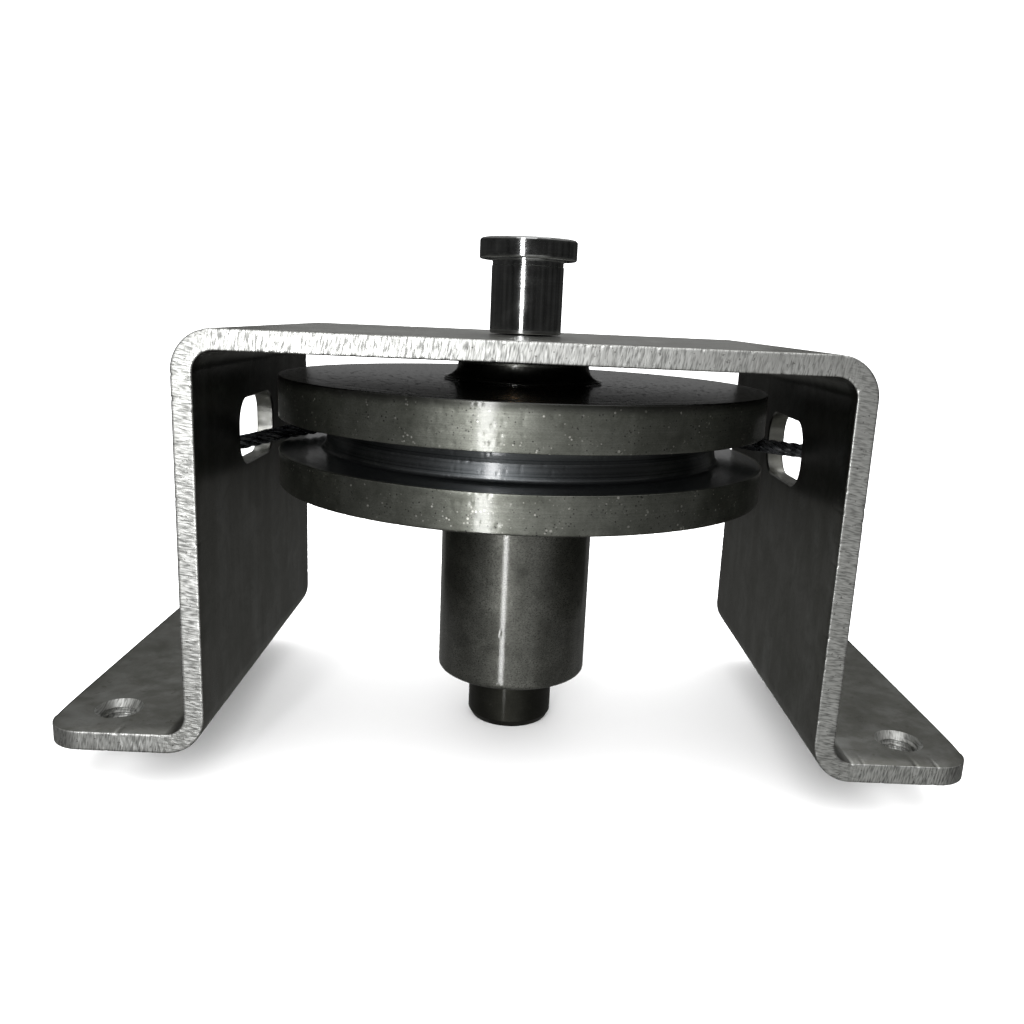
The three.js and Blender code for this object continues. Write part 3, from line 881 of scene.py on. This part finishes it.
def weld_relief(angle, radius, height):
    """Faint ripples along the bead's concave face."""
    on_face = (radius > NECK_R + 0.5) & (height > SHEAVE_TOP + 0.5)
    wave = 0.03 * np.abs(np.sin(angle * 35 + 0.35 * (radius - NECK_R))) - 0.03
    return on_face * (wave + 0.03 * smooth_noise(angle / (2 * math.pi) * 40, height / 1.5, 18, 40))


def weld(material):
    """The concave bead between the neck and the sheave: upright at the neck, flat on the sheave."""
    outer, bottom, top = reach("hub_weld")
    inner = NECK_R + FIT
    leg = top - bottom
    centre_r, centre_z = inner + leg + 0.3, bottom + leg + 0.3
    corners = [(inner, bottom, 0), (outer, bottom, 0)]
    for angle in np.radians(np.linspace(268, 182, 15)):
        corners.append((centre_r + leg * math.cos(angle), centre_z + leg * math.sin(angle), 0))
    corners.append((inner, top, 0))
    return turned("weld_bead", corners, material, 360, 0.5, weld_relief)


def ring_piece(name, node, inner, material):
    """A washer or bush that fills its CAD node, with rounded edges."""
    outer, bottom, top = reach(node)
    edge = 0.2
    corners = [(inner, bottom, edge), (outer, bottom, edge), (outer, top, edge), (inner, top, edge)]
    return turned(name, corners, material, 160, 1.0)


# ---- spindle and follower


def stud_relief(angle, radius, height):
    """The M10 thread on the stud's upper end, above the nut."""
    cut_in = STUD_R - 0.02 - thread_radius(angle, height, STUD_R - 0.75, STUD_R - 0.02, 1.5)
    return np.where((radius > STUD_R - 0.3) & (radius < STUD_R + 0.1) & (height > HEAD_BOTTOM), -cut_in, 0.0)


def spindle(material):
    circlip_low = HUB_BOTTOM - 3.0
    circlip_high = HUB_BOTTOM - 1.4
    lead_radial, lead_axial = 1.0, 1.8
    shoulder = HEIGHT - PLATE - 0.3
    corners = [
        (0, SPINDLE_BOTTOM + 3.2, 0),
        (1.0, SPINDLE_BOTTOM + 2.4, 0),
        (2.6, SPINDLE_BOTTOM, 0.15),
        (SPINDLE_R - lead_radial, SPINDLE_BOTTOM, 0.25),
        (SPINDLE_R, SPINDLE_BOTTOM + lead_axial, 0.3),
        (SPINDLE_R, circlip_low, 0.1),
        (SPINDLE_R - 1, circlip_low, 0.1),
        (SPINDLE_R - 1, circlip_high, 0.1),
        (SPINDLE_R, circlip_high, 0.1),
        (SPINDLE_R, shoulder, 0.4),
        (STUD_R, shoulder, 0.3),
        (STUD_R, STUD_TOP - 0.9, 0.2),
        (STUD_R - 0.9, STUD_TOP, 0.2),
        (0, STUD_TOP, 0),
    ]
    return turned("spindle_shaft", corners, material, 256, 0.25, stud_relief)


def roller(material):
    bore = 8.6
    pocket_r, pocket_floor = 10.4, HEAD_BOTTOM - 0.4
    relief_low = HEAD_BOTTOM - 1.8
    neck = SHANK_R - 0.15
    corners = [
        (bore, FOLLOWER_BASE, 0.3),
        (SHANK_R, FOLLOWER_BASE, 0.4),
        (SHANK_R, relief_low, 0.05),
        (neck, relief_low + 0.2, 0.05),
        (neck, HEAD_BOTTOM, 0.3),
        (HEAD_R, HEAD_BOTTOM, 0.6),
        (HEAD_R, HEAD_TOP, 0.8),
        (pocket_r, HEAD_TOP, 0.4),
        (pocket_r, pocket_floor, 0.3),
        (bore, pocket_floor, 0.3),
    ]
    return turned("roller_body", corners, material, 320, 0.8, None, 50)


def hex_nut(material):
    """A thin hexagon nut with chamfered corners, its bore countersunk."""
    low, high = node_box("follower_nut")
    bottom, top = float(low[2]), float(high[2])
    flat = float(high[0])
    bore = STUD_R + 0.15
    facets = 240
    angle = np.linspace(0, 2 * math.pi, facets, endpoint=False)
    away = (angle + math.pi / 6) % (math.pi / 3) - math.pi / 6
    hexagon = flat / np.cos(away)
    lower = [(bore, 0.7)]
    for share in np.linspace(0, 1, 14):
        radius = bore + 0.7 + (hexagon - bore - 0.7) * share
        lower.append((radius, np.clip(radius - flat * 0.985, 0, None) * 0.577))
    rings = [(radius, bottom + rise) for radius, rise in lower]
    rings += [(hexagon, bottom + (top - bottom) * share) for share in (0.35, 0.5, 0.65)]
    rings += [(radius, top - rise) for radius, rise in reversed(lower)]
    grid = np.stack([polar(radius, angle, height) for radius, height in rings], 1)
    faces = grid_faces(facets, len(rings), True, True)
    return make_object("hex_nut", grid.reshape(-1, 3), faces, material, 28)


def circlip(material):
    """An external circlip with two drilled ears and softened edges."""
    low, high = node_box("circlip")
    bottom, top = float(low[2]), float(high[2])
    inner, outer = SPINDLE_R - 0.7, SPINDLE_R + 2.2
    half_gap = math.radians(20)
    start = math.pi / 2 + half_gap
    sweep = 2 * math.pi - 2 * half_gap
    count = 180
    rows = []
    edge = 0.15
    eye_r, ear_r = 0.65, 1.75
    for k in range(count + 1):
        angle = start + sweep * k / count
        section = [
            (inner + edge, bottom), (outer - edge, bottom), (outer, bottom + edge), (outer, top - edge),
            (outer - edge, top), (inner + edge, top), (inner, top - edge), (inner, bottom + edge),
        ]
        rows.append([polar(radius, angle, height) for radius, height in section])
    ring = lofted("circlip_ring", np.array(rows), material, 30)
    for side in (-1, 1):
        angle = math.pi / 2 + side * (half_gap + math.radians(5))
        move = Matrix.Translation(polar((inner + 1.9) * MM, angle, 0))
        ear_outline = [(eye_r, bottom, 0.1), (ear_r, bottom, 0.15), (ear_r, top, 0.15), (eye_r, top, 0.1)]
        ear = turned("ear", ear_outline, material, 40)
        ear.data.transform(move)
        eye = plug("eye", eye_r, bottom - 1, top + 1, 40)
        eye.data.transform(move)
        combine(ring, [ear], "UNION")
        combine(ring, [eye], "DIFFERENCE")
    shade(ring, 30)
    return ring


# ---- wire rope

ROPE_LEFT_END = (-90.5, -17, 71.3)
ROPE_LEFT_LAST = (-84, -17.4, 71.6)
ROPE_RIGHT_END = (90.5, -17, 76.9)
ROPE_RIGHT_LAST = (84, -17.6, 76.8)
ROPE_RIGHT_HEIGHT = 75.6  # where the rope meets the groove
ROPE_LEFT_HEIGHT = 74.3
ROPE_PATH_R = GROOVE_FLOOR_R + 0.3 + ROPE_R
ROPE_LAY = 22.0
STRANDS = 6
STRAND_R = 0.64
WIRES = 6
WIRE_R = 0.21
WIRE_LAY = -9.0  # wound against the strands


def rope_corners():
    """The rope's route: through the right slot, round the rear of the groove and out of the left slot."""
    right = [
        ROPE_RIGHT_END, ROPE_RIGHT_LAST, (78.5, -16.6, 76.6), (74.6, -12, 76.3), (68, -1.6, 75.9),
        (59, 13.9, 75.7),
    ]
    left = [
        (-59, 13.9, 74.1), (-68, -1.6, 73.7), (-74.6, -12, 72.6), (-78.5, -16.2, 72), ROPE_LEFT_LAST,
        ROPE_LEFT_END,
    ]
    share = np.arange(13) / 12
    height = ROPE_RIGHT_HEIGHT + (ROPE_LEFT_HEIGHT - ROPE_RIGHT_HEIGHT) * share
    wrap = polar(ROPE_PATH_R, np.radians(30 + 120 * share), height)
    return np.vstack([right, wrap, left])


def between(a, b, start, end, t):
    return (end - t) / (end - start) * a + (t - start) / (end - start) * b


def smooth_curve(points, spacing):
    """A centripetal spline through points, resampled at an even spacing."""
    padded = np.vstack([2 * points[0] - points[1], points, 2 * points[-1] - points[-2]])
    fine = []
    for k in range(len(points) - 1):
        p0, p1, p2, p3 = padded[k:k + 4]
        gaps = np.linalg.norm(np.diff(padded[k:k + 4], axis=0), axis=1) ** 0.5
        t0, t1, t2, t3 = np.cumsum([0, *gaps])
        for t in np.linspace(t1, t2, 24, endpoint=False):
            a1, a2, a3 = between(p0, p1, t0, t1, t), between(p1, p2, t1, t2, t), between(p2, p3, t2, t3, t)
            b1, b2 = between(a1, a2, t0, t2, t), between(a2, a3, t1, t3, t)
            fine.append(between(b1, b2, t1, t2, t))
    fine.append(points[-1])
    fine = np.array(fine)
    run = np.concatenate([[0], np.cumsum(np.linalg.norm(np.diff(fine, axis=0), axis=1))])
    even = np.linspace(0, run[-1], round(run[-1] / spacing) + 1)
    return np.stack([np.interp(even, run, fine[:, axis]) for axis in range(3)], -1), even


def helix_round(path, run, radius, lay, phase):
    """A helix of that radius and lay wound round a path."""
    side, up = carried_frame(directions(path))
    turn = (2 * math.pi * run / lay + phase)[:, None]
    return path + radius * (np.cos(turn) * side + np.sin(turn) * up)


def rope(material):
    """Six strands of six wires laid round a fibre core."""
    path, run = smooth_curve(rope_corners(), 0.6)
    pieces = []
    for strand in range(STRANDS):
        centre = helix_round(path, run, ROPE_R - STRAND_R, ROPE_LAY, 2 * math.pi * strand / STRANDS)
        points, faces = tube_along(centre, STRAND_R - WIRE_R, 8)
        cloud, quads = [points], list(faces)
        total = len(points)
        for wire in range(WIRES):
            wire_path = helix_round(centre, run, STRAND_R - WIRE_R, WIRE_LAY, 2 * math.pi * wire / WIRES)
            points, faces = tube_along(wire_path, WIRE_R, 6)
            cloud.append(points)
            quads += [[index + total for index in face] for face in faces]
            total += len(points)
        pieces.append(make_object(f"rope_strand_{strand + 1}", np.vstack(cloud), quads, material, 60))
    points, faces = tube_along(path, ROPE_R - 2 * STRAND_R, 10)
    pieces.append(make_object("rope_core", points, faces, material, 60))
    return pieces


def end_sleeve(name, end, inward, material):
    """A crimped sleeve on a rope end, pressed flat in three bands."""
    length = 7.0
    outer, bore = ROPE_R + 1.6, ROPE_R + 0.12

    def crimps(angle, radius, height):
        band = np.clip(np.cos((height + length / 2) * 2 * math.pi / 2.1) * 1.6, 0, 1)
        inside = (height > -length + 0.7) & (height < -0.7) & (radius > outer - 0.5)
        return -0.28 * band * inside * (0.6 + 0.4 * np.cos(6 * angle))

    corners = [(bore, -length, 0.25), (outer, -length, 0.4), (outer, 0, 0.4), (bore, 0, 0.25)]
    sleeve = turned(name, corners, material, 96, 0.25, crimps)
    direction = (Vector(end) - Vector(inward)).normalized()
    spin = Vector((0, 0, 1)).rotation_difference(direction).to_matrix().to_4x4()
    sleeve.data.transform(Matrix.Translation(Vector(end) * MM) @ spin)
    return sleeve


# ---- the object


def place(piece, body, slot, *nodes):
    """Rides a piece on its body and hides the CAD nodes that it stands for. slot is not used."""
    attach(piece, body)
    if nodes:
        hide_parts(*nodes)


def place_ring(name, node, inner, material, body, slot):
    place(ring_piece(name, node, inner, material), body, slot, node)


# RIM's last colour is the painted shade of the groove between the rims.
RIM = turned_material(
    "turned_steel", (0.13, 0.136, 0.115), (0.3, 0.308, 0.275), 0.34, 0.5, 0.5, 0.9, 0.8, 0.3, 0.8, 0.16,
    (0.045, 0.05, 0.053),
)
BARREL = turned_material(
    "barrel_steel", (0.12, 0.122, 0.108), (0.29, 0.293, 0.265), 0.36, 0.52, 0.25, 0.7, 0.12, 0.75, 0.8
)
DARK = turned_material(
    "dark_steel", (0.035, 0.035, 0.029), (0.06, 0.06, 0.051), 0.4, 0.55, 0.2, 0.2, 0.03, 0.2, 0.15
)
POLISHED = polished_material()
GROUND = plain_metal("ground_steel", (0.36, 0.36, 0.37), (0.5, 0.5, 0.51), 0.22, 0.36)
SPRING = plain_metal("spring_steel", (0.05, 0.05, 0.05), (0.12, 0.12, 0.12), 0.3, 0.45)
BRONZE = plain_metal("bronze", (0.34, 0.2, 0.09), (0.5, 0.33, 0.16), 0.3, 0.45)
WELD = plain_metal("weld_metal", (0.025, 0.025, 0.022), (0.06, 0.06, 0.054), 0.35, 0.55, 500, 0.3, 0.8)
CRIMP = plain_metal("crimp_metal", (0.3, 0.3, 0.3), (0.45, 0.45, 0.45), 0.35, 0.5)
ROPE = rope_material()

place(bracket(), "bracket_body", "plate_steel", "bracket")
place(spindle(DARK), "bracket_body", "dark_steel", "spindle")
place(circlip(SPRING), "bracket_body", "spring_steel", "circlip")
for side, word in (("low", "lower"), ("high", "upper")):
    node = f"{word}_thrust_washer"
    place_ring(f"thrust_washer_{side}", node, SPINDLE_R + FIT, BRONZE, "bracket_body", "bronze")
place_ring("sleeve_race", "follower_sleeve", STUD_R + FIT, GROUND, "bracket_body", "ground_steel")
place_ring("keeper_washer", "follower_washer", STUD_R + FIT, GROUND, "bracket_body", "ground_steel")
place(hex_nut(GROUND), "bracket_body", "ground_steel", "follower_nut")

place(sheave(RIM), "sheave_body", "turned_steel", "sheave")
place(hub(BARREL), "sheave_body", "barrel_steel", "hub_barrel")
place(weld(WELD), "sheave_body", "weld_metal", "hub_weld")
for side, word in (("low", "lower"), ("high", "upper")):
    place_ring(f"bush_{side}", f"{word}_bush", SPINDLE_R + FIT, BRONZE, "sheave_body", "bronze")

place(roller(POLISHED), "follower_body", "polished_steel", "follower_roller")
place_ring("roller_liner", "follower_bush", LINER_BORE_R, BRONZE, "follower_body", "bronze")

for number, strand in enumerate(rope(ROPE)):
    place(strand, "bracket_body", "rope_wire", *(["wire_rope"] if number == 0 else []))
for side, end, last in (("left", ROPE_LEFT_END, ROPE_LEFT_LAST), ("right", ROPE_RIGHT_END, ROPE_RIGHT_LAST)):
    crimp = end_sleeve(f"crimp_{side}", end, last, CRIMP)
    place(crimp, "bracket_body", "crimp_metal", f"rope_end_sleeve_{side}")

# ---- floor, light and camera

LIGHT_AIM = Vector((0, 0, 0.06))


def floor():
    """A wide pale floor just under the spindle's end."""
    radius, facets = 6000, 96
    angle = np.linspace(0, 2 * math.pi, facets, endpoint=False)
    points = polar(radius, angle, SPINDLE_BOTTOM - 0.2)
    disc = make_object("floor", points, [list(range(facets))], floor_material())
    disc.visible_glossy = False


def surroundings():
    """A great sphere that holds the dim surroundings. Only mirrored rays meet it."""
    work = bmesh.new()
    bmesh.ops.create_uvsphere(work, u_segments=48, v_segments=32, radius=9)
    mesh = bpy.data.meshes.new("surroundings")
    work.to_mesh(mesh)
    work.free()
    mesh.materials.append(studio_material())
    sphere = add_object("surroundings", mesh)
    for ray in ("camera", "diffuse", "shadow", "transmission"):
        setattr(sphere, f"visible_{ray}", False)


def area_light(name, azimuth, elevation, distance, width, height, power):
    """A soft panel. Azimuth 0 is in front of the object, and positive turns to its right."""
    a, e = math.radians(azimuth), math.radians(elevation)
    away = Vector((math.sin(a) * math.cos(e), -math.cos(a) * math.cos(e), math.sin(e)))
    data = bpy.data.lights.new(name, "AREA")
    data.shape = "RECTANGLE"
    data.size, data.size_y = width, height
    data.energy = power
    lamp = add_object(name, data)
    lamp.location = LIGHT_AIM + away * distance
    lamp.rotation_mode = "QUATERNION"
    lamp.rotation_quaternion = away.to_track_quat("Z", "Y")


def lights():
    area_light("key_strip", -14.5, 2, 1.0, 0.11, 1.1, 9)
    area_light("front_soft", -6, 36, 1.3, 1.0, 0.6, 2.8)
    area_light("top_soft", 20, 78, 1.2, 1.2, 1.2, 4)
    area_light("back_soft", 175, 52, 1.4, 1.2, 0.7, 5)
    area_light("back_low", 180, 9, 1.4, 0.9, 0.4, 0.3)


def world():
    """A white room that lights the floor and shows behind the object but isn't mirrored in the metal."""
    made = bpy.data.worlds.new("studio")
    bpy.context.scene.world = made
    made.use_nodes = True
    background = made.node_tree.nodes["Background"]
    background.inputs["Color"].default_value = (1, 1, 1, 1)
    background.inputs["Strength"].default_value = 2.4
    made.cycles_visibility.glossy = False


def camera():
    """A short lens just above the top plate, tilted down and rolled a little."""
    eye = Vector((-1.91, -259.5, 110.2)) * MM
    yaw, pitch, roll = (math.radians(a) for a in (0.08, -12.53, 2.44))
    forward = Vector((math.sin(yaw) * math.cos(pitch), math.cos(yaw) * math.cos(pitch), math.sin(pitch)))
    right = Vector((math.cos(yaw), -math.sin(yaw), 0))
    up = right.cross(forward)
    turned_right = right * math.cos(roll) + up * math.sin(roll)
    turned_up = up * math.cos(roll) - right * math.sin(roll)
    data = bpy.data.cameras.new("camera")
    data.sensor_width = 36
    data.lens = 31.59
    data.clip_start = 0.01
    data.clip_end = 30
    view = add_object("camera", data)
    view.matrix_world = Matrix((turned_right, turned_up, -forward)).transposed().to_4x4()
    view.location = eye
    bpy.context.scene.camera = view


floor()
surroundings()
lights()
world()
camera()
bpy.context.scene.view_settings.view_transform = "Standard"
